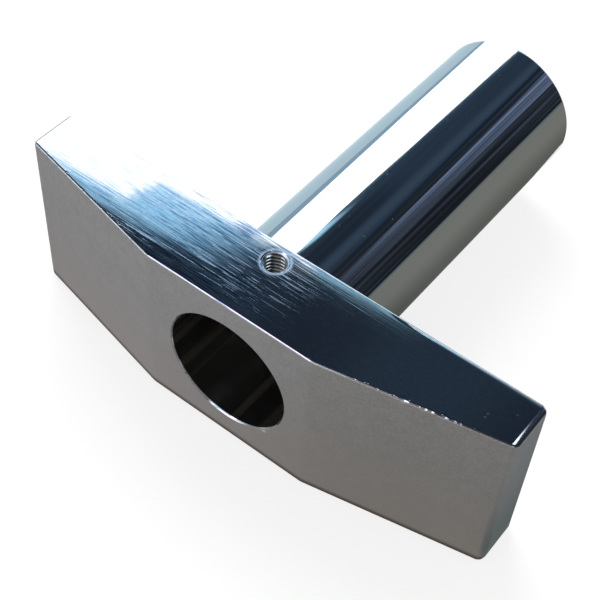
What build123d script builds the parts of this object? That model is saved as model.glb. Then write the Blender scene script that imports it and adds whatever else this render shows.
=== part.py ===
from build123d import *
import os

# T-handle: a plated crossbar with a three-facet front, and a straight tube let into its flat back.
# Millimetres. X runs along the crossbar, +Y leaves its back along the tube, and +Z is up.
# The origin lies where the tube's axis crosses the flat back of the crossbar.

# Crossbar
bar_length = 86.0
bar_height = 30.0
bar_depth = 14.0  # front to back at the middle facet
end_depth = 8.0  # front to back at either end
middle_facet_width = 29.0
end_round = 1.0  # rolled edge all round each end
long_edge_round = 0.35  # softened edges along the front and the back

# Tube
tube_diameter = 25.0
tube_wall = 2.0
tube_reach = 62.0  # from the crossbar's back to the tube's open end
tube_end_round = 0.6  # outside of the open end

# Spigot turned on the tube's seated end, whose shoulder stands on a shallow spotface in the crossbar's back
spigot_diameter = 24.0
spigot_length = 6.0  # from the crossbar's back to the spigot's end
spotface_depth = 0.1
seat_clearance = 0.03  # all round the spigot and the shoulder, filled by the brazing
seat_end_gap = 0.05  # from the spigot's end to the bottom of its seat

# Bore that a rod slides through, from the open end of the tube to the crossbar's front
mouth_chamfer = 0.25  # at the front of the crossbar
tube_mouth_chamfer = 0.4  # at the open end of the tube

# Screw hole in the top, drawn at its thread's outside diameter, which clamps the rod
screw_diameter = 4.0
screw_setback = 3.3  # from the crossbar's back to the screw's axis
countersink_diameter = 4.3

# Sizes that follow
tube_radius = tube_diameter / 2
bore_radius = tube_radius - tube_wall
spigot_radius = spigot_diameter / 2
bar_top = bar_height / 2


def plan_outline():
    """Plan of the crossbar: flat back, middle facet, and a facet that falls away to each end."""
    half_length = bar_length / 2
    half_facet = middle_facet_width / 2
    with BuildSketch(Plane.XY.offset(-bar_top)) as plan:
        with BuildLine():
            Polyline(
                (-half_length, 0),
                (half_length, 0),
                (half_length, -end_depth),
                (half_facet, -bar_depth),
                (-half_facet, -bar_depth),
                (-half_length, -end_depth),
                close=True,
            )
        make_face()
    return plan.sketch


def runs_along_bar(edge):
    """True for an edge that lies closer to X than to Y."""
    direction = edge.tangent_at(0.5)
    return abs(direction.X) > abs(direction.Y)


def screw_cutter():
    """Countersunk drill that stops on the tube's axis, so it opens into the bore and no further."""
    countersink_radius = countersink_diameter / 2
    screw_radius = screw_diameter / 2
    with BuildPart(Plane.XY.offset(bar_top)) as cutter:
        with Locations((0, -screw_setback)):
            Cylinder(screw_radius, bar_top, align=(Align.CENTER, Align.CENTER, Align.MAX))
            Cone(
                screw_radius,
                countersink_radius,
                countersink_radius - screw_radius,
                align=(Align.CENTER, Align.CENTER, Align.MAX),
            )
    return cutter.part


def make_crossbar():
    """Crossbar with rolled ends, bored through, counterbored from the back and drilled from the top."""
    with BuildPart() as bar:
        add(plan_outline())
        extrude(amount=bar_height)

        # Both ends are rolled over on all four sides before the long edges are softened
        end_faces = bar.faces().sort_by(Axis.X)
        fillet(end_faces[0].edges() + end_faces[-1].edges(), end_round)
        level_faces = bar.faces().sort_by(Axis.Z)
        outlines = level_faces[0].edges() + level_faces[-1].edges()
        fillet(outlines.filter_by(runs_along_bar), long_edge_round)

        # The spotface and the spigot's seat, open to the back, and the bore that carries on to the front
        with BuildSketch(Plane.XZ):
            Circle(tube_radius + seat_clearance)
        extrude(amount=spotface_depth, mode=Mode.SUBTRACT)
        with BuildSketch(Plane.XZ):
            Circle(spigot_radius + seat_clearance)
        extrude(amount=spigot_length + seat_end_gap, mode=Mode.SUBTRACT)
        with BuildSketch(Plane.XZ):
            Circle(bore_radius)
        extrude(amount=bar_depth, mode=Mode.SUBTRACT)
        mouth = bar.faces().sort_by(Axis.Y)[0].edges().filter_by(GeomType.CIRCLE)
        chamfer(mouth, mouth_chamfer)

        add(screw_cutter(), mode=Mode.SUBTRACT)
    return bar.part


def make_tube():
    """Round tube, turned down to a spigot at its seated end and eased inside and out at its open end."""
    with BuildPart() as tube:
        with BuildSketch() as half_section:
            with BuildLine():
                Polyline(
                    (bore_radius, -spigot_length),
                    (spigot_radius, -spigot_length),
                    (spigot_radius, -spotface_depth),
                    (tube_radius, -spotface_depth),
                    (tube_radius, tube_reach),
                    (bore_radius, tube_reach),
                    close=True,
                )
            make_face()
            inner_corner, outer_corner = half_section.vertices().sort_by(Axis.Y)[-2:].sort_by(Axis.X)
            fillet(outer_corner, tube_end_round)
            chamfer(inner_corner, tube_mouth_chamfer)
        revolve(axis=Axis.Y)

        add(screw_cutter(), mode=Mode.SUBTRACT)
    return tube.part


os.makedirs("parts", exist_ok=True)
for name, piece in {"crossbar": make_crossbar(), "tube": make_tube()}.items():
    export_step(piece, f"parts/{name}.step")
    print(name, "volume", round(piece.volume, 1), "mm3")
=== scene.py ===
from math import cos, pi, radians, sin

import bmesh
import bpy
from mathutils import Matrix, Vector


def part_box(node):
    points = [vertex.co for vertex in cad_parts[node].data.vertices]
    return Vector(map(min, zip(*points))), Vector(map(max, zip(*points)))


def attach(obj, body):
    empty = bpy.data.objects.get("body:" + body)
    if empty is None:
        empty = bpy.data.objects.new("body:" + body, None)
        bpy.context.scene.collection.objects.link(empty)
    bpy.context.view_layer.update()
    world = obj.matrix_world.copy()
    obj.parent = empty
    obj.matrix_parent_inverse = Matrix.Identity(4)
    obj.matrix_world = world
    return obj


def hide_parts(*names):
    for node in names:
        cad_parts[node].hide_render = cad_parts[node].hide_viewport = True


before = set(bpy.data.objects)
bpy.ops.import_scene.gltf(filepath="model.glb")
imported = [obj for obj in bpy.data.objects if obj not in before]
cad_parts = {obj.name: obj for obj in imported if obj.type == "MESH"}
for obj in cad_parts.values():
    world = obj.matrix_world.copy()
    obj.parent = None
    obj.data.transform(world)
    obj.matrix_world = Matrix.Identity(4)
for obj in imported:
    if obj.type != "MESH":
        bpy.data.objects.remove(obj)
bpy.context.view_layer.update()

MM = 0.001

# Sizes read from the frame
bar_low, bar_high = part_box("crossbar")
tube_low, tube_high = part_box("tube")
bar_length = bar_high.x - bar_low.x
bar_height = bar_high.z - bar_low.z
bar_depth = -bar_low.y
bar_top = bar_high.z
tube_radius = tube_high.x
tube_reach = tube_high.y
spigot_length = -tube_low.y

# Sizes of the crossbar that its box does not give
end_depth = 8 * MM
middle_facet_width = 29 * MM
end_round = 1 * MM
long_edge_round = 0.35 * MM
facet_crease_round = 0.5 * MM
mouth_chamfer = 0.25 * MM

# Sizes of the tube and its seat
tube_wall = 2 * MM
tube_end_round = 0.6 * MM
tube_mouth_chamfer = 0.4 * MM
spigot_radius = 12 * MM
spotface_depth = 0.1 * MM
seat_clearance = 0.03 * MM
seat_end_gap = 0.05 * MM
bore_radius = tube_radius - tube_wall

# Sizes of the tapped hole
screw_radius = 2 * MM
screw_setback = 3.3 * MM
countersink_radius = 2.15 * MM
thread_root_radius = 1.98 * MM
thread_crest_radius = 1.65 * MM
thread_pitch = 0.7 * MM
thread_shell_radius = 2.04 * MM
thread_length = 4.25 * MM

# How finely the shapes are divided, and the angle in degrees from which an edge stays sharp
turned_steps = 256
screw_steps = 96
end_round_steps = 10
tube_round_steps = 8
tube_length_steps = 16
thread_steps_round = 96
thread_steps_down = 170
sharp_angle = 25


class Field:
    """A value that varies over a surface. Arithmetic on it adds Math nodes to its tree."""

    def __init__(self, tree, socket):
        self.tree = tree
        self.socket = socket

    def maths(self, operation, *terms):
        return self.tree.add("ShaderNodeMath", {"operation": operation}, dict(enumerate(terms)))

    def other(self, name):
        """Another output of the node that this value comes from."""
        return Field(self.tree, self.socket.node.outputs[name])

    def __add__(self, term):
        return self.maths("ADD", self, term)

    def __sub__(self, term):
        return self.maths("SUBTRACT", self, term)

    def __rsub__(self, term):
        return self.maths("SUBTRACT", term, self)

    def __mul__(self, term):
        return self.maths("MULTIPLY", self, term)

    def __truediv__(self, term):
        return self.maths("DIVIDE", self, term)

    def __rtruediv__(self, term):
        return self.maths("DIVIDE", term, self)

    def __neg__(self):
        return self.maths("MULTIPLY", self, -1)

    def __abs__(self):
        return self.maths("ABSOLUTE", self)

    __radd__ = __add__
    __rmul__ = __mul__

    def at_least(self, term):
        return self.maths("MAXIMUM", self, term)

    def at_most(self, term):
        return self.maths("MINIMUM", self, term)

    def fraction(self):
        return self.maths("FRACT", self)

    def root(self):
        return self.maths("SQRT", self)

    def fade(self):
        """One at zero, and about a third of that for each step up."""
        return self.maths("EXPONENT", self * -1)

    def rise(self, low, high):
        """Zero below low, one above high, and smooth between them."""
        inputs = {"Value": self, "From Min": low, "From Max": high}
        return self.tree.add("ShaderNodeMapRange", {"interpolation_type": "SMOOTHSTEP"}, inputs)


class Tree:
    """A node tree, built one node at a time by add."""

    def __init__(self, nodes, links):
        self.nodes = nodes
        self.links = links

    def add(self, kind, settings=None, inputs=None, output=0):
        """Adds a node: first its settings, then its sockets by name or number. Returns an output."""
        node = self.nodes.new(kind)
        for name, value in (settings or {}).items():
            setattr(node, name, value)
        for name, value in (inputs or {}).items():
            self.plug(node.inputs[name], value)
        return Field(self, node.outputs[output]) if node.outputs else node

    def plug(self, socket, value):
        if isinstance(value, Field):
            self.links.new(value.socket, socket)
        else:
            socket.default_value = value


class Finish(Tree):
    """The node tree of one material."""

    def __init__(self, name):
        self.material = bpy.data.materials.new(name)
        self.material.use_nodes = True
        tree = self.material.node_tree
        tree.nodes.clear()
        super().__init__(tree.nodes, tree.links)
        self.place = self.add("ShaderNodeTexCoord", output="Object")
        self.place_mm = self.add(
            "ShaderNodeVectorMath", {"operation": "SCALE"}, {0: self.place, "Scale": 1 / MM}
        )
        self.x, self.y, self.z = self.parts(self.place_mm)
        self.facing = self.parts(self.add("ShaderNodeNewGeometry", output="Normal"))

    def parts(self, vector):
        """X, Y and Z of a vector."""
        split = self.add("ShaderNodeSeparateXYZ", inputs={0: vector})
        return split, split.other("Y"), split.other("Z")

    def noise(self, across, detail=2.0, roughness=0.5, turn=0.0):
        """Noise round a half, with features this long in millimetres, turned by degrees about Z."""
        turned_place = self.add(
            "ShaderNodeMapping",
            {"vector_type": "TEXTURE"},
            {"Vector": self.place_mm, "Rotation": (0, 0, radians(turn)), "Scale": across},
        )
        inputs = {"Vector": turned_place, "Scale": 1.0, "Detail": detail, "Roughness": roughness}
        return self.add("ShaderNodeTexNoise", {"noise_dimensions": "3D"}, inputs)

    def near(self, centre, reach):
        """One at a point given in millimetres, and zero from some way off."""
        ends = {0: self.place_mm, 1: centre}
        away = self.add("ShaderNodeVectorMath", {"operation": "DISTANCE"}, ends, output="Value")
        return 1 - away.rise(0, reach)

    def blend(self, share, first, second):
        """A colour between two others."""
        inputs = {"Factor": share, 6: first, 7: second}
        settings = {"data_type": "RGBA", "clamp_factor": True}
        return self.add("ShaderNodeMix", settings, inputs, output=2)

    def bump(self, height_mm):
        """A normal that follows a height in millimetres."""
        return self.add("ShaderNodeBump", inputs={"Height": height_mm, "Distance": MM, "Strength": 1.0})

    def surface(self, shader):
        self.add("ShaderNodeOutputMaterial", inputs={"Surface": shader})
        return self.material

    def metal(self, colour, roughness, normal):
        inputs = {"Base Color": colour, "Metallic": 1.0, "Roughness": roughness, "Normal": normal}
        return self.surface(self.add("ShaderNodeBsdfPrincipled", inputs=inputs))


def wave_height(slope_degrees, across_mm):
    """Height of a noise whose steepest parts lean by about this slope."""
    return radians(slope_degrees) * across_mm


def colour(red, green, blue):
    return (red, green, blue, 1.0)


def length_of(first, second):
    """Length of the diagonal that two values span."""
    return (first * first + second * second).root()


def facet_edge(from_middle):
    """Where an outer facet's edge lies along Y, this far from the bar's middle, in millimetres."""
    fall = (bar_depth - end_depth) / ((bar_length - middle_facet_width) / 2)
    return -end_depth / MM - (bar_length / 2 / MM - from_middle) * fall


# Finishes work in millimetres. So do these sizes of the wear on the bar: a chip in the right facet's edge
# has a place along X and a reach, and a dent in the top has a place along X, one along Y and a reach
plate_top = bar_top / MM
plate_bore = bore_radius / MM
edge_chips = ((27.5, 0.85), (30.4, 0.5), (31.3, 0.55), (33.1, 0.7), (34.4, 0.5), (35.2, 0.35))
top_dents = ((37.1, -5.9, 0.35), (37.1, -6.6, 0.35), (40.2, -3.65, 0.3), (14.0, -13.8, 0.4))
# Place and reach of a white glint painted at the bore's mouth
mouth_glint_place = (7.15, -13.95, -7.95)
mouth_glint_reach = 0.8
nick_depth = 0.02
dent_depth = 0.004
chip_depth = 0.09

polished_roughness = 0.03
satin_roughness = 0.37
bore_roughness = 0.26


def grinding_lines(finish, back):
    """Height of the lines along the bar, which the plate has softened, most of all on the back."""
    line_width, line_slope = 0.22, 0.20
    wave_width, wave_slope = 1.6, 0.12
    fine_lines = finish.noise((9.0, line_width, line_width), detail=1.0)
    broad_waves = finish.noise((30.0, wave_width, wave_width), detail=1.0)
    height = fine_lines * wave_height(line_slope, line_width)
    height = height + broad_waves * wave_height(wave_slope, wave_width)
    return height * (1 - back * 0.96)


def scratches_in_top(finish):
    """Broken dull scratches on the top, left of the hole and round it."""
    breaks = finish.noise((1.9, 0.21, 0.21), detail=0.0).rise(0.38, 0.52)
    scratches = finish.noise((12.0, 0.16, 0.16), detail=0.0, turn=0.3).rise(0.57, 0.67) * breaks
    scratched = finish.z.rise(plate_top - 0.4, plate_top - 0.1) * finish.y.rise(-13.2, -11.6)
    return scratches * scratched * finish.x.rise(-32, -20) * (1 - finish.x.rise(0, 13))


def nicks_in_edges(finish):
    """Nicks along the front edge of the level faces, beside the middle facet."""
    from_front = (finish.y - facet_edge(abs(finish.x)).at_least(-bar_depth / MM)).at_least(0)
    edge = (1 - from_front.rise(0.15, 0.55)) * abs(finish.z).rise(plate_top - 0.7, plate_top - 0.3)
    spots = finish.noise((0.9, 0.4, 0.4), detail=1.0).rise(0.60, 0.70)
    return spots * edge * abs(finish.x).rise(17.0, 22.0)


def dents_in_top(finish):
    """Small dents at their places in the top."""
    return sum(finish.near((x, y, plate_top), reach) for x, y, reach in top_dents)


def chips_in_edge(finish):
    """Chips along the right facet's edge, the wider ones deeper."""
    full_reach = 0.7
    inward = 0.05
    chips = 0
    for x, reach in edge_chips:
        place = (x, facet_edge(x) + inward, plate_top)
        chips += finish.near(place, reach) * (reach / full_reach)
    return chips


def wear_and_halo_round_hole(finish):
    """The dish that polishing has left round the tapped hole, and a duller ring at the hole's edge, which
    also carries a light blue halo painted as reflection.
    """
    from_hole = length_of(finish.x, finish.y + screw_setback / MM) - countersink_radius / MM
    dish_depth, dish_reach = 0.0025, 0.4
    dish = (from_hole.at_least(0) / dish_reach).fade() * finish.z.rise(plate_top - 0.5, plate_top - 0.1)
    ring = (1 - from_hole.rise(0.05, 0.6)) * finish.z.rise(plate_top - 0.3, plate_top - 0.1)
    return dish * -dish_depth, ring


def worn_back_edge(finish):
    """Height of the top where polishing has rounded its back edge, to the right of the hole."""
    worn_width, worn_depth = 1.0, 0.16
    worn_stretch = finish.z.rise(plate_top - 0.6, plate_top - 0.2) * finish.x.rise(14, 24)
    past_flat = (finish.y + worn_width).at_least(0) * worn_stretch
    return past_flat * past_flat * -worn_depth


def satin_grain(finish):
    """Height of the fine grain of the satin faces."""
    grain_size, grain_slope = 0.38, 14.0
    grain = finish.noise((grain_size, grain_size, grain_size), detail=2.0, roughness=0.6)
    return grain * wave_height(grain_slope, grain_size)


def polished_tone(finish, back, scratches, ring, dents):
    """Steel grey with a haze, with darker lines and pale scratches on the left half, and a light blue
    halo painted as reflection round the hole.
    """
    dark_lines = finish.noise((5.0, 0.22, 0.22), detail=1.5, turn=-0.3).rise(0.50, 0.62)
    darkness = (0.44 + finish.x.rise(-22, -14) * 0.44) * (1 - finish.x.rise(-6, 10)) * (1 - back * 0.75)
    haze = finish.noise((0.9, 0.5, 0.5), detail=2.0).rise(0.35, 0.65)
    tone = finish.blend(finish.x.rise(0, 14), colour(0.55, 0.57, 0.60), colour(0.53, 0.53, 0.53))
    tone = finish.blend(dark_lines * darkness, tone, colour(0.07, 0.15, 0.26))
    tone = finish.blend(scratches, tone, colour(0.34, 0.50, 0.68))
    # Painted reflection: a light blue halo on the dull ring round the hole
    tone = finish.blend(ring * 0.8, tone, colour(0.42, 0.62, 0.82))
    tone = finish.blend(dents * 0.3, tone, colour(0.85, 0.88, 0.90))
    return finish.blend(haze * 0.30, tone, colour(0.30, 0.36, 0.46))


def crossbar_plating():
    """Satin plate on the front facets and the ends, polished plate with grinding lines elsewhere."""
    finish = Finish("crossbar_plating")
    nx, ny, nz = finish.facing
    upright = 1 - abs(nz).rise(0.12, 0.40)
    front = (-ny).rise(0.02, 0.25) * upright
    end = abs(nx).rise(0.45, 0.75) * upright
    back = ny.rise(0.3, 0.9)
    rolled = abs(nz).rise(0.30, 0.55) * (1 - abs(nz).rise(0.90, 0.99)) * (1 - abs(nx).rise(0.3, 0.5))
    inside = 1 - length_of(finish.x, finish.z).rise(plate_bore + 0.05, plate_bore + 0.15)
    scratches = scratches_in_top(finish)
    nicks = nicks_in_edges(finish)
    dents = dents_in_top(finish)
    chips = chips_in_edge(finish)
    dish, ring = wear_and_halo_round_hole(finish)
    satin = front.at_least(end) * (1 - dents).at_least(0)

    # Relief of the polished and the satin faces, and the wear in them
    polished_height = grinding_lines(finish, back) + dish + worn_back_edge(finish)
    height = polished_height * (1 - satin) + satin_grain(finish) * satin
    height = height - nicks * nick_depth - dents * dent_depth - chips * chip_depth
    normal = finish.bump(height * (1 - inside))

    # Painted shade: the bottom edges are painted dark brown as contact shade, and the right end of the
    # top's front edge is painted dark where it catches no light
    mottle = finish.noise((2.2, 2.2, 2.2), detail=3.0)
    polished = polished_tone(finish, back, scratches, ring, dents)
    tone = finish.blend(satin, polished, satin_tone(finish, mottle))
    # Painted shade: dark brown along the bottom edges, where the bar meets the floor
    contact_shade_edge = (1 - finish.z.rise(-plate_top + 0.4, -plate_top + 1.6)) * (1 - abs(nz).rise(0.97, 0.99))
    tone = finish.blend(contact_shade_edge * 0.95, tone, colour(0.14, 0.10, 0.075))
    # Painted shade: the rounded front edge of the top, dark at its right end
    painted_shade_stretch = rolled * (-ny).rise(0.1, 0.3) * finish.x.rise(31, 32.5)
    tone = finish.blend(painted_shade_stretch * 0.8, tone, colour(0.10, 0.10, 0.12))
    tone = finish.blend(chips * 0.8, tone, colour(0.62, 0.65, 0.70))
    # Painted shade, with painted streaks of reflection, in the bore
    tone = finish.blend(inside, tone, painted_bore_shade_and_streaks(finish))

    dull = scratches * 0.14 + ring * 0.08 + rolled * 0.07 + back * 0.15
    rougher = satin_roughness - polished_roughness
    roughness = polished_roughness + rougher * satin + mottle * 0.02
    roughness = roughness + dents * 0.16 + dull * (1 - satin)
    roughness = roughness * (1 - inside) + bore_roughness * inside
    return finish.metal(tone, roughness, normal)


def satin_tone(finish, mottle):
    """Mottled grey, painted browner towards the foot as a reflection of a brownish table, with a white
    glint painted at the bore's mouth.
    """
    speckle = finish.noise((0.45, 0.45, 0.45), detail=1.0)
    patches = (mottle * 0.4 + speckle * 0.6).rise(0.3, 0.7)
    tone = finish.blend(patches, colour(0.445, 0.445, 0.44), colour(0.53, 0.53, 0.525))
    # Painted reflection: browner towards the foot, as a brownish table mirrored low on the facets
    foot = 1 - finish.z.rise(-plate_top, plate_top)
    tone = finish.blend(foot * 0.7, tone, colour(0.50, 0.455, 0.425))
    # Painted highlight: a white glint at the bore's mouth
    return finish.blend(finish.near(mouth_glint_place, mouth_glint_reach), tone, colour(1.0, 1.0, 1.0))


def painted_bore_shade_and_streaks(finish):
    """Bore painted dark as shade, with a few paler bands painted along it as streaks of reflection."""
    bands = finish.noise((2.2, 90.0, 2.2), detail=1.0).rise(0.50, 0.68)
    return finish.blend(bands, colour(0.30, 0.30, 0.30), colour(0.90, 0.84, 0.68))


def tube_plating():
    """Polished plate with faint lines along the tube, with painted shade and painted streaks of
    reflection in the bore.
    """
    finish = Finish("tube_plating")
    inside = 1 - length_of(finish.x, finish.z).rise(plate_bore + 0.6, plate_bore + 0.9)
    line_width, line_slope = 0.45, 0.45
    wave_width, wave_slope = 2.2, 0.35
    speck_depth = 0.006
    draw_lines = finish.noise((line_width, 38.0, line_width), detail=1.0)
    waves = finish.noise((wave_width, 50.0, wave_width), detail=0.0)
    specks = finish.noise((0.4, 0.4, 0.4), detail=0.0).rise(0.86, 0.90)
    height = draw_lines * wave_height(line_slope, line_width)
    height = height + waves * wave_height(wave_slope, wave_width)
    normal = finish.bump(height - specks * speck_depth)
    patches = finish.noise((6.0, 18.0, 6.0), detail=2.0)
    tone = finish.blend(patches, colour(0.54, 0.56, 0.58), colour(0.59, 0.61, 0.63))
    # Painted shade, with painted streaks of reflection, in the bore
    tone = finish.blend(inside, tone, painted_bore_shade_and_streaks(finish))
    roughness = 0.045 + patches * 0.03
    roughness = roughness * (1 - inside) + bore_roughness * inside
    return finish.metal(tone, roughness, normal)


def thread_plating():
    """Cut thread, thinly plated, browner in its roots, with its countersink painted pale blue as a halo
    of reflection.
    """
    finish = Finish("thread_plating")
    radius = length_of(finish.x, finish.y + screw_setback / MM)
    root = radius.rise(thread_crest_radius / MM + 0.05, thread_root_radius / MM - 0.05)
    painted_halo_cone = finish.z.rise(plate_top - 0.5, plate_top - 0.3)
    tone = finish.blend(root * (1 - painted_halo_cone), colour(0.52, 0.60, 0.58), colour(0.20, 0.13, 0.11))
    # Painted reflection: the countersink painted pale blue as a halo
    tone = finish.blend(painted_halo_cone, tone, colour(0.78, 0.90, 1.0))
    chatter_size, chatter_slope = 0.15, 3.0
    chatter = finish.noise((chatter_size, chatter_size, chatter_size), detail=2.0)
    normal = finish.bump(chatter * wave_height(chatter_slope, chatter_size))
    return finish.metal(tone, 0.14 + 0.12 * chatter + 0.32 * painted_halo_cone, normal)


def new_object(name, mesh):
    """An object with this mesh, added to the scene."""
    piece = bpy.data.objects.new(name, mesh)
    bpy.context.scene.collection.objects.link(piece)
    return piece


def dress(piece, material):
    """Gives a piece its one material."""
    piece.data.materials.clear()
    piece.data.materials.append(material)


def evaluated_mesh(piece, name):
    """The plain mesh that a piece's modifiers make."""
    depsgraph = bpy.context.evaluated_depsgraph_get()
    depsgraph.update()
    mesh = bpy.data.meshes.new_from_object(piece.evaluated_get(depsgraph))
    mesh.name = name
    return mesh


def settle_normals(piece, sharp_degrees):
    """Keeps flat faces flat beside their rounded edges, and edges steeper than this sharp."""
    mesh = piece.data
    mesh.shade_smooth()
    mesh.set_sharp_from_angle(angle=radians(sharp_degrees))
    weighted = piece.modifiers.new("weighted normals", "WEIGHTED_NORMAL")
    weighted.keep_sharp = True
    weighted.weight = 100
    settled = evaluated_mesh(piece, mesh.name)
    piece.modifiers.clear()
    piece.data = settled
    bpy.data.meshes.remove(mesh)


def turned(name, outline, closed, steps):
    """A shape turned about the Y axis from (radius, y) points, as a ring or with its two ends capped."""
    bm = bmesh.new()
    angles = [2 * pi * s / steps for s in range(steps)]
    rings = [[bm.verts.new((r * cos(a), y, r * sin(a))) for a in angles] for r, y in outline]
    pairs = list(zip(rings, rings[1:]))
    if closed:
        pairs.append((rings[-1], rings[0]))
    else:
        bm.faces.new(rings[0])
        bm.faces.new(rings[-1])
    for near, far in pairs:
        for s in range(steps):
            t = (s + 1) % steps
            bm.faces.new((near[s], near[t], far[t], far[s]))
    bmesh.ops.recalc_face_normals(bm, faces=bm.faces)
    mesh = bpy.data.meshes.new(name)
    bm.to_mesh(mesh)
    bm.free()
    return new_object(name, mesh)


def corner_arc(centre, radius, start, stop, steps):
    """Points round a corner, from one angle to another in degrees."""
    angles = [radians(start + (stop - start) * k / steps) for k in range(steps + 1)]
    return [(centre[0] + radius * cos(a), centre[1] + radius * sin(a)) for a in angles]


def subtract(piece, cutter):
    """Cuts one closed shape out of another and removes the cutter."""
    cut = piece.modifiers.new("cut", "BOOLEAN")
    cut.operation = "DIFFERENCE"
    cut.solver = "EXACT"
    cut.object = cutter
    mesh = evaluated_mesh(piece, piece.data.name)
    piece.modifiers.clear()
    piece.data = mesh
    bpy.data.objects.remove(cutter)


def screw_cutter():
    """Countersunk drill along the tapped hole's axis, from above the bar down to the tube's axis."""
    above = 1 * MM
    countersink_depth = countersink_radius - screw_radius
    outline = [
        (screw_radius, -bar_top),
        (screw_radius, -countersink_depth),
        (countersink_radius, 0),
        (countersink_radius, above),
    ]
    cutter = turned("screw cutter", outline, closed=False, steps=screw_steps)
    upright = Matrix.Rotation(radians(90), 4, "X")
    cutter.data.transform(Matrix.Translation((0, -screw_setback, bar_top)) @ upright)
    return cutter


def bore_cutter():
    """Bore with its chamfered mouth, the spigot's seat and the spotface."""
    beyond = 1 * MM
    seat_bottom = -spigot_length - seat_end_gap
    outline = [
        (bore_radius + mouth_chamfer, -bar_depth - beyond),
        (bore_radius + mouth_chamfer, -bar_depth),
        (bore_radius, -bar_depth + mouth_chamfer),
        (bore_radius, seat_bottom),
        (spigot_radius + seat_clearance, seat_bottom),
        (spigot_radius + seat_clearance, -spotface_depth),
        (tube_radius + seat_clearance, -spotface_depth),
        (tube_radius + seat_clearance, beyond),
    ]
    return turned("bore cutter", outline, closed=False, steps=turned_steps)


def make_crossbar():
    """Bar with a three-facet front, rolled ends and softened long edges."""
    half_length, half_facet, half_height = bar_length / 2, middle_facet_width / 2, bar_height / 2
    outline = [
        (-half_length, 0),
        (-half_length, -end_depth),
        (-half_facet, -bar_depth),
        (half_facet, -bar_depth),
        (half_length, -end_depth),
        (half_length, 0),
    ]
    bm = bmesh.new()
    floor_ring = [bm.verts.new((x, y, -half_height)) for x, y in outline]
    top_ring = [bm.verts.new((x, y, half_height)) for x, y in outline]
    bm.faces.new(floor_ring)
    bm.faces.new(top_ring)
    for k in range(len(outline)):
        n = (k + 1) % len(outline)
        bm.faces.new((floor_ring[k], floor_ring[n], top_ring[n], top_ring[k]))
    bmesh.ops.recalc_face_normals(bm, faces=bm.faces)
    weight = bm.edges.layers.float.new("bevel_weight_edge")
    slack = MM / 10
    for edge in bm.edges:
        first, second = (v.co for v in edge.verts)
        middle = (first + second) / 2
        run = second - first
        if abs(abs(middle.x) - half_length) < slack:
            edge[weight] = 1.0
        elif abs(run.z) > abs(run.x):
            edge[weight] = facet_crease_round / end_round
        else:
            edge[weight] = long_edge_round / end_round
    mesh = bpy.data.meshes.new("crossbar_body")
    bm.to_mesh(mesh)
    bm.free()
    piece = new_object("crossbar_body", mesh)
    rounding = piece.modifiers.new("rounding", "BEVEL")
    rounding.limit_method = "WEIGHT"
    rounding.width = end_round
    rounding.segments = end_round_steps
    rounding.use_clamp_overlap = False
    piece.data = evaluated_mesh(piece, "crossbar_body")
    piece.modifiers.clear()
    subtract(piece, bore_cutter())
    subtract(piece, screw_cutter())
    settle_normals(piece, sharp_angle)
    return piece


def make_tube():
    """Tube with its spigot, its outside rounded and its inside chamfered at the open end."""
    straight = [tube_reach * k / tube_length_steps for k in range(1, tube_length_steps)]
    fillet_centre = (tube_radius - tube_end_round, tube_reach - tube_end_round)
    outline = [
        (bore_radius, -spigot_length),
        (spigot_radius, -spigot_length),
        (spigot_radius, -spotface_depth),
        (tube_radius, -spotface_depth),
    ]
    outline += [(tube_radius, y) for y in straight]
    outline += corner_arc(fillet_centre, tube_end_round, 0, 90, tube_round_steps)
    outline += [
        (bore_radius + tube_mouth_chamfer, tube_reach),
        (bore_radius, tube_reach - tube_mouth_chamfer),
    ]
    outline += [(bore_radius, y) for y in reversed(straight)]
    piece = turned("tube_body", outline, closed=True, steps=turned_steps)
    subtract(piece, screw_cutter())
    settle_normals(piece, sharp_angle)
    return piece


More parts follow.
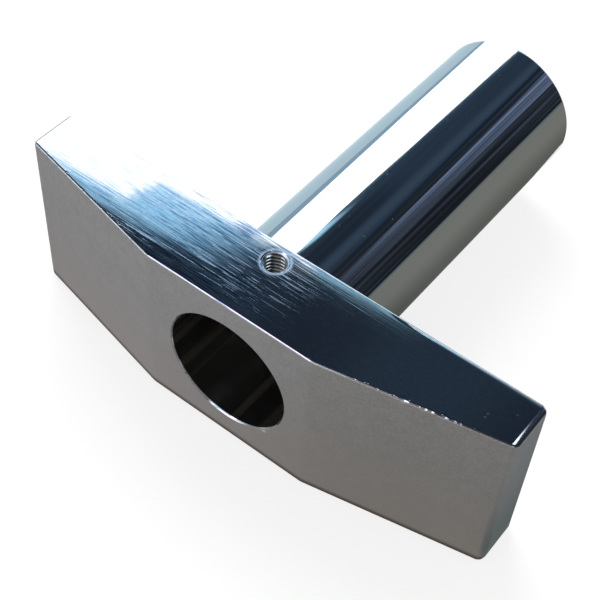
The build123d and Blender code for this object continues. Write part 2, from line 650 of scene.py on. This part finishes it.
def thread_tree():
    """Nodes that roll a flat grid up into the thread: one side goes round the hole, the other down it."""
    group = bpy.data.node_groups.new("thread turns", "GeometryNodeTree")
    group.interface.new_socket("Geometry", in_out="OUTPUT", socket_type="NodeSocketGeometry")
    sizes = {
        "Pitch": thread_pitch,
        "Crest radius": thread_crest_radius,
        "Root radius": thread_root_radius,
        "Shell radius": thread_shell_radius,
        "Countersink radius": countersink_radius,
        "Start depth": countersink_radius - screw_radius,
        "Length": thread_length,
        "Top": bar_top,
        "Setback": screw_setback,
    }
    for name in sizes:
        group.interface.new_socket(name, in_out="INPUT", socket_type="NodeSocketFloat")
    group.interface.new_socket("Finish", in_out="INPUT", socket_type="NodeSocketMaterial")
    tree = Tree(group.nodes, group.links)
    given = tree.add("NodeGroupInput")

    grid = tree.add(
        "GeometryNodeMeshGrid",
        inputs={
            "Size X": 1.0,
            "Size Y": 1.0,
            "Vertices X": thread_steps_round + 1,
            "Vertices Y": thread_steps_down + 3,
        },
    )
    place = tree.add("ShaderNodeSeparateXYZ", inputs={0: tree.add("GeometryNodeInputPosition")})
    round_share = place + 0.5
    row = (place.other("Y") + 0.5) * (thread_steps_down + 2)
    down_share = (row / thread_steps_down).at_most(1)

    # The last row but one is the shell's lower edge, and the last row closes on the first
    on_shell = row.maths("GREATER_THAN", row, thread_steps_down + 0.5)
    shell_top = row.maths("GREATER_THAN", row, thread_steps_down + 1.5)
    depth = given.other("Start depth") + given.other("Length") * down_share * (1 - shell_top)
    phase = (depth / given.other("Pitch") + round_share).fraction()
    wave = abs(phase * 2 - 1).rise(0.2, 0.9)
    thread_depth = given.other("Root radius") - given.other("Crest radius")
    turn_radius = given.other("Crest radius") + thread_depth * wave
    cone_radius = given.other("Countersink radius") - depth
    inner = turn_radius.at_least(cone_radius)
    radius = inner + (given.other("Shell radius") - inner) * on_shell
    angle = round_share * (2 * pi)
    target = tree.add(
        "ShaderNodeCombineXYZ",
        inputs={
            "X": radius * angle.maths("COSINE", angle),
            "Y": radius * angle.maths("SINE", angle) - given.other("Setback"),
            "Z": given.other("Top") - depth,
        },
    )
    seam = MM / 1000
    rolled = tree.add("GeometryNodeSetPosition", inputs={"Geometry": grid, "Position": target})
    closed = tree.add("GeometryNodeMergeByDistance", inputs={"Geometry": rolled, "Distance": seam})
    smooth = tree.add("GeometryNodeSetShadeSmooth", inputs={"Geometry": closed})
    finish_inputs = {"Geometry": smooth, "Material": given.other("Finish")}
    finished = tree.add("GeometryNodeSetMaterial", inputs=finish_inputs)
    realized = tree.add("GeometryNodeRealizeInstances", inputs={"Geometry": finished})
    tree.add("NodeGroupOutput", inputs={"Geometry": realized})
    return group, sizes


def make_thread(material):
    """The thread's turns in the tapped hole, through the bar and the tube's spigot."""
    group, sizes = thread_tree()
    piece = new_object("screw_thread", bpy.data.meshes.new("screw_thread"))
    turns = piece.modifiers.new("turns", "NODES")
    turns.node_group = group
    for socket in group.interface.items_tree:
        if socket.in_out == "INPUT":
            turns[socket.identifier] = sizes.get(socket.name, material)
    mesh = evaluated_mesh(piece, "screw_thread")
    piece.modifiers.clear()
    piece.data = mesh
    bm = bmesh.new()
    bm.from_mesh(mesh)
    bmesh.ops.recalc_face_normals(bm, faces=bm.faces)
    bm.to_mesh(mesh)
    bm.free()
    return piece


crossbar = make_crossbar()
dress(crossbar, crossbar_plating())
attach(crossbar, "root")
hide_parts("crossbar")

tube = make_tube()
dress(tube, tube_plating())
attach(tube, "root")
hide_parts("tube")

thread = make_thread(thread_plating())
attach(thread, "root")


# Heights and distances of the stage, in metres
studio_height = 5.0
ceiling_height = studio_height * 1.02
streak_level = studio_height * 0.98
end_light_level = 115 * MM
wall_reach = 0.8
front_wall_reach = 1.2
sill_reach = 2.5
glass_reach = 2.6
floor_reach = 6.0
floor_level = bar_low.z - 0.01 * MM
apron_foot = floor_level + 0.004 * MM
wall_foot = -0.015

# Ends of the window's slanted side. A point overhead is given by how far it lies along X and along Y for
# each unit of its height
window_foot = (-0.552, 0.815)
window_head = (-0.405, 1.165)
window_white = colour(2.6, 2.6, 2.6)


def stage_card(name, corners, glow_tone, faces=None):
    """A card that shows only in the plate's reflections. Its tone may be a function of its own nodes."""
    mesh = bpy.data.meshes.new(name)
    mesh.from_pydata([Vector(c) for c in corners], [], faces or [tuple(range(len(corners)))])
    glow = Finish(name)
    inputs = {"Color": glow_tone(glow) if callable(glow_tone) else glow_tone}
    piece = new_object(name, mesh)
    dress(piece, glow.surface(glow.add("ShaderNodeEmission", inputs=inputs)))
    piece.visible_camera = False
    piece.visible_diffuse = False
    piece.visible_shadow = False
    piece.visible_transmission = False
    piece.visible_volume_scatter = False
    return piece


def overhead(points, height=studio_height):
    """Corners of a level card at a height."""
    return [(x * height, y * height, height) for x, y in points]


def lie_of(glow, height):
    """How far a point of a level card lies along X and Y for each unit of its height."""
    return glow.x * (MM / height), glow.y * (MM / height)


def band(value, middle, reach):
    """One at a middle value, and zero from some way off on either side."""
    return 1 - abs(value - middle).rise(0, reach)


def ceiling_tone(glow):
    """Dark blue in soft bands along Y, sky blue towards the window and beyond it."""
    across, along = lie_of(glow, ceiling_height)
    bands = glow.noise((700.0, 14000.0, 1.0), detail=1.0).rise(0.35, 0.68)
    over_tube = along.rise(0.74, 0.82)
    tone = glow.blend(bands, colour(0.020, 0.032, 0.052), colour(0.032, 0.052, 0.083))
    tone = glow.blend(over_tube * 0.6, tone, colour(0.036, 0.064, 0.104))
    tone = glow.blend(band(across, 0.28, 0.22), tone, colour(0.052, 0.086, 0.132))
    dark_line = 0.57 - (along - 0.80) * 0.34
    tone = glow.blend(band(across - dark_line, 0.0, 0.12), tone, colour(0.013, 0.022, 0.036))

    # A glow along the window's slanted side
    slant = (window_head[0] - window_foot[0]) / (window_head[1] - window_foot[1])
    from_window = across - window_foot[0] - (along.at_most(window_head[1]) - window_foot[1]) * slant
    tone = glow.blend((1 - from_window.rise(0.02, 0.17)) * over_tube, tone, colour(0.05, 0.12, 0.19))
    tone = glow.blend((1 - from_window.rise(0.0, 0.055)) * over_tube, tone, colour(0.14, 0.32, 0.43))

    # Sky, which the bar's top mirrors, and more of it beyond the window, for the top's worn back edge
    over_bar = (-across).rise(0.335, 0.45) * along.rise(0.716, 0.727) * (1 - along.rise(0.76, 0.80))
    tone = glow.blend(over_bar, tone, colour(0.62, 1.15, 1.50))
    sky_foot = along + (-across - 0.60).at_least(0) * 0.08
    sky = (along - across - 0.69).rise(0.512, 0.645) * sky_foot.rise(0.649, 0.665)
    tone = glow.blend(sky * (1 - along.rise(0.74, 0.78)), tone, colour(0.52, 1.02, 1.38))
    tone = glow.blend(along.rise(1.7, 2.1), tone, colour(0.22, 0.29, 0.35))
    beyond_window = along.rise(1.17, 1.25) * (1 - along.rise(2.6, 3.4)) * (1 - across.rise(-0.25, -0.10))
    far_sky = glow.blend(across.rise(-0.50, -0.34), colour(0.66, 1.12, 1.45), colour(0.20, 0.27, 0.34))
    return glow.blend(beyond_window, tone, far_sky)


def streak_tone(glow):
    """Lavender streaks, brightest near the card's left side and away from the bar."""
    across, along = lie_of(glow, streak_level)
    from_side = across - 0.62 - (1.30 - along).at_least(0) * 0.75
    spread = 0.30 + (along - 0.90).at_least(0) * 1.5
    streaks = glow.noise((260.0, 9000.0, 1.0), detail=1.5).rise(0.42, 0.62)
    lit = from_side.rise(-0.03, 0.06) * (1 - (from_side / spread).rise(0.15, 1.0))
    dark = glow.blend(streaks, colour(0.020, 0.026, 0.036), colour(0.055, 0.070, 0.100))
    low = glow.blend(streaks, colour(0.050, 0.066, 0.098), colour(0.15, 0.19, 0.29))
    high = glow.blend(streaks, colour(0.09, 0.12, 0.19), colour(0.29, 0.39, 0.60))
    return glow.blend(lit, dark, glow.blend(along.rise(0.80, 1.20), low, high))


def right_wall_tone(glow):
    """Almost black, with a few softer streaks."""
    streaks = glow.noise((1.0, 500.0, 75.0), detail=2.0).rise(0.40, 0.68)
    return glow.blend(streaks, colour(0.013, 0.017, 0.023), colour(0.062, 0.080, 0.110))


def end_light_tone(glow):
    """White near the bar's front and far out, fading towards the bar's back above its end."""
    above_end = 1 - glow.x.rise(56, 70)
    near = glow.blend(glow.y.rise(58, 64) * above_end, colour(2.3, 2.5, 2.9), colour(0.32, 0.40, 0.54))
    return glow.blend(glow.y.rise(61, 69) * above_end, near, colour(0.06, 0.09, 0.15))


window_near = [(-0.480, 0.727), window_foot, window_head]
window_far = [(-0.95, 1.45), (-0.95, 9.0), (-9.0, 9.0), (-9.0, 0.0)]
window_sill = [(-0.80, 0.664), (-0.70, 0.672), (-0.685, 0.710)]
stage_card("window card", overhead(window_near + window_far + window_sill), window_white)

ceiling_outline = [(-9.5, -0.4), (6.0, -0.4), (6.0, 9.5), (-9.5, 9.5)]
stage_card("dark ceiling", overhead(ceiling_outline, ceiling_height), ceiling_tone)

streak_outline = [(0.60, 0.7), (1.9, 0.7), (1.9, 1.8), (0.57, 1.8)]
stage_card("streak card", overhead(streak_outline, streak_level), streak_tone)

end_light_outline = [(36, 15), (114, 15), (114, 72), (97, 68), (80, 65), (58, 66), (57, 74), (41, 74)]
end_light_corners = [(x * MM, y * MM, end_light_level) for x, y in end_light_outline]
stage_card("end light", end_light_corners, end_light_tone)

right_wall_outline = [(-0.6, wall_foot), (2.4, wall_foot), (2.4, 0.58), (-0.6, 0.58)]
stage_card("right wall", [(wall_reach, y, z) for y, z in right_wall_outline], right_wall_tone)

sill_outline = [(-1.0, wall_foot), (6.0, wall_foot), (6.0, 0.06), (2.5, 0.26)]
sill_outline += [(1.7, 0.53), (1.2, 0.72), (-1.0, 0.75)]
stage_card("left sill", [(-sill_reach, y, z) for y, z in sill_outline], colour(0.33, 0.50, 0.63))

glass_outline = [(1.0, 0.0), (8.0, 0.0), (8.0, 0.8), (1.0, 0.8)]
stage_card("glass above the sill", [(-glass_reach, y, z) for y, z in glass_outline], window_white)

front_wall_outline = [(-3.0, wall_foot), (2.4, wall_foot), (2.4, 3.1), (-3.0, 3.1)]
front_wall_corners = [(x, -front_wall_reach, z) for x, z in front_wall_outline]
stage_card("front wall", front_wall_corners, colour(0.30, 0.30, 0.31))


def soft_box(name, heading, lift, distance, width, height, tone):
    """A glowing card that faces the bar, from a heading off +Y towards +X and a lift above level."""
    aim = Matrix.Rotation(radians(-heading), 4, "Z") @ Matrix.Rotation(radians(lift), 4, "X")
    corners = [(-width / 2, distance, -height / 2), (width / 2, distance, -height / 2)]
    corners += [(width / 2, distance, height / 2), (-width / 2, distance, height / 2)]
    return stage_card(name, [aim @ Vector(c) for c in corners], tone)


soft_box(
    "edge light",
    heading=-150,
    lift=36,
    distance=0.9,
    width=0.40,
    height=0.74,
    tone=colour(2.3, 2.15, 2.7),
)
soft_box(
    "bore light",
    heading=-169,
    lift=26,
    distance=0.95,
    width=0.34,
    height=0.20,
    tone=colour(2.3, 2.7, 2.8),
)
soft_box(
    "low bore light",
    heading=-134,
    lift=12,
    distance=0.95,
    width=0.32,
    height=0.30,
    tone=colour(2.0, 2.3, 2.4),
)


def leaning_card(name, near, far, rise, tone):
    """A band that leans outwards, from near points on the floor to far points up in the air."""
    low = [(x * MM, y * MM, apron_foot) for x, y in near]
    high = [(x * MM, y * MM, rise * MM) for x, y in far]
    count = len(low)
    faces = [(k, k + 1, count + k + 1, count + k) for k in range(count - 1)]
    return stage_card(name, low + high, tone, faces)


def apron_tone(glow):
    """Warm grey in front, paler towards the left, darker and greener at the right end."""
    grey = glow.blend(glow.x.rise(-25, 32), colour(0.43, 0.43, 0.44), colour(0.32, 0.315, 0.305))
    end_grey = glow.blend(glow.x.rise(45, 54), colour(0.16, 0.20, 0.205), colour(0.33, 0.335, 0.34))
    beside_end = glow.x.rise(42.6, 44) * glow.y.rise(-16, -9)
    return glow.blend(beside_end, grey, end_grey)


def tube_side_tone(glow):
    """Olive grey, darker at the foot and near the bar."""
    dark = (1 - glow.x.rise(13, 28)) * 0.7 + (1 - glow.y.rise(4, 34)) * 0.25
    olive = glow.blend(dark, colour(0.268, 0.272, 0.243), colour(0.075, 0.078, 0.07))
    return glow.blend(glow.z.rise(4.5, 8.0), olive, colour(0.15, 0.17, 0.18))


leaning_card(
    "front apron",
    near=[(-42.7, 26.0), (-42.7, -7.8), (-14.4, -13.7), (14.4, -13.7), (42.7, -7.8), (42.7, 26.0)],
    far=[(-80.0, 40.0), (-74.0, -40.0), (-20.0, -54.0), (20.0, -54.0), (74.0, -40.0), (80.0, 40.0)],
    rise=4.0,
    tone=apron_tone,
)
leaning_card(
    "right of the tube",
    near=[(10.0, 2.0), (10.5, 62.0), (15.0, 74.0), (15.0, 90.0)],
    far=[(41.0, 2.0), (41.0, 100.0), (41.0, 125.0), (41.0, 170.0)],
    rise=7.4,
    tone=tube_side_tone,
)
leaning_card(
    "left of the tube",
    near=[(-13.0, 2.0), (-15.0, 90.0)],
    far=[(-40.0, 2.0), (-40.0, 170.0)],
    rise=10.3,
    tone=colour(0.62, 0.81, 0.91),
)
leaning_card(
    "beyond the right end",
    near=[(82.0, -60.0), (82.0, 120.0)],
    far=[(200.0, -100.0), (200.0, 260.0)],
    rise=14.0,
    tone=colour(0.03, 0.05, 0.08),
)

floor_mesh = bpy.data.meshes.new("floor")
floor_sides = ((-1, -1), (1, -1), (1, 1), (-1, 1))
floor_corners = [(x * floor_reach, y * floor_reach, floor_level) for x, y in floor_sides]
floor_mesh.from_pydata(floor_corners, [], [(0, 1, 2, 3)])


def seen_directly(tree):
    """One for what the camera sees straight, in a reflection or through glass."""
    camera_ray = tree.add("ShaderNodeLightPath", output="Is Camera Ray")
    seen = camera_ray.at_least(camera_ray.other("Is Glossy Ray"))
    return seen.at_least(camera_ray.other("Is Transmission Ray"))


paper = Finish("floor paper")
paper_grain = paper.noise((0.8, 0.8, 0.8))
paper_tone = paper.blend(paper_grain, colour(0.89, 0.89, 0.89), colour(0.91, 0.91, 0.91))
lit_paper = paper.add("ShaderNodeBsdfDiffuse", inputs={"Color": paper_tone})
white_paper = paper.add("ShaderNodeEmission", inputs={"Color": colour(1, 1, 1), "Strength": 1.0})
white_share = seen_directly(paper) * 0.80
paper_mix = paper.add("ShaderNodeMixShader", inputs={0: white_share, 1: lit_paper, 2: white_paper})
floor = new_object("floor", floor_mesh)
dress(floor, paper.surface(paper_mix))

key_light = bpy.data.lights.new("key lamp", "AREA")
key_light.energy = 12.0
key_light.size = 0.6
key_lamp = bpy.data.objects.new("key lamp", key_light)
bpy.context.scene.collection.objects.link(key_lamp)
key_lamp.location = (-0.55, 0.45, 0.75)
key_lamp.rotation_euler = (-key_lamp.location).to_track_quat("-Z", "Y").to_euler()
key_lamp.visible_glossy = False

world = bpy.data.worlds.new("studio")
bpy.context.scene.world = world
world.use_nodes = True
world.node_tree.nodes.clear()
air = Tree(world.node_tree.nodes, world.node_tree.links)
air_strength = 0.75
strength = air_strength + (1 - air_strength) * seen_directly(air)
backdrop = air.add("ShaderNodeBackground", inputs={"Color": colour(1, 1, 1), "Strength": strength})
air.add("ShaderNodeOutputWorld", inputs={"Surface": backdrop})

# Camera, fitted to the bar's straight edges, the bore and the tube's rim
camera_place = (72.0 * MM, -101.09 * MM, 153.59 * MM)
camera_heading = 34.55
camera_down = 50.37
camera_roll = 4.295
camera_data = bpy.data.cameras.new("camera")
camera_data.sensor_width = 36.0
camera_data.lens = 78.82
camera_data.clip_start = 0.005
camera_data.clip_end = 50.0
camera = bpy.data.objects.new("camera", camera_data)
bpy.context.scene.collection.objects.link(camera)
turn = Matrix.Rotation(radians(camera_heading), 4, "Z")
tilt = Matrix.Rotation(radians(90 - camera_down), 4, "X")
roll = Matrix.Rotation(radians(camera_roll), 4, "Z")
camera.matrix_world = Matrix.Translation(camera_place) @ turn @ tilt @ roll
bpy.context.scene.camera = camera
bpy.context.scene.view_settings.view_transform = "Standard"
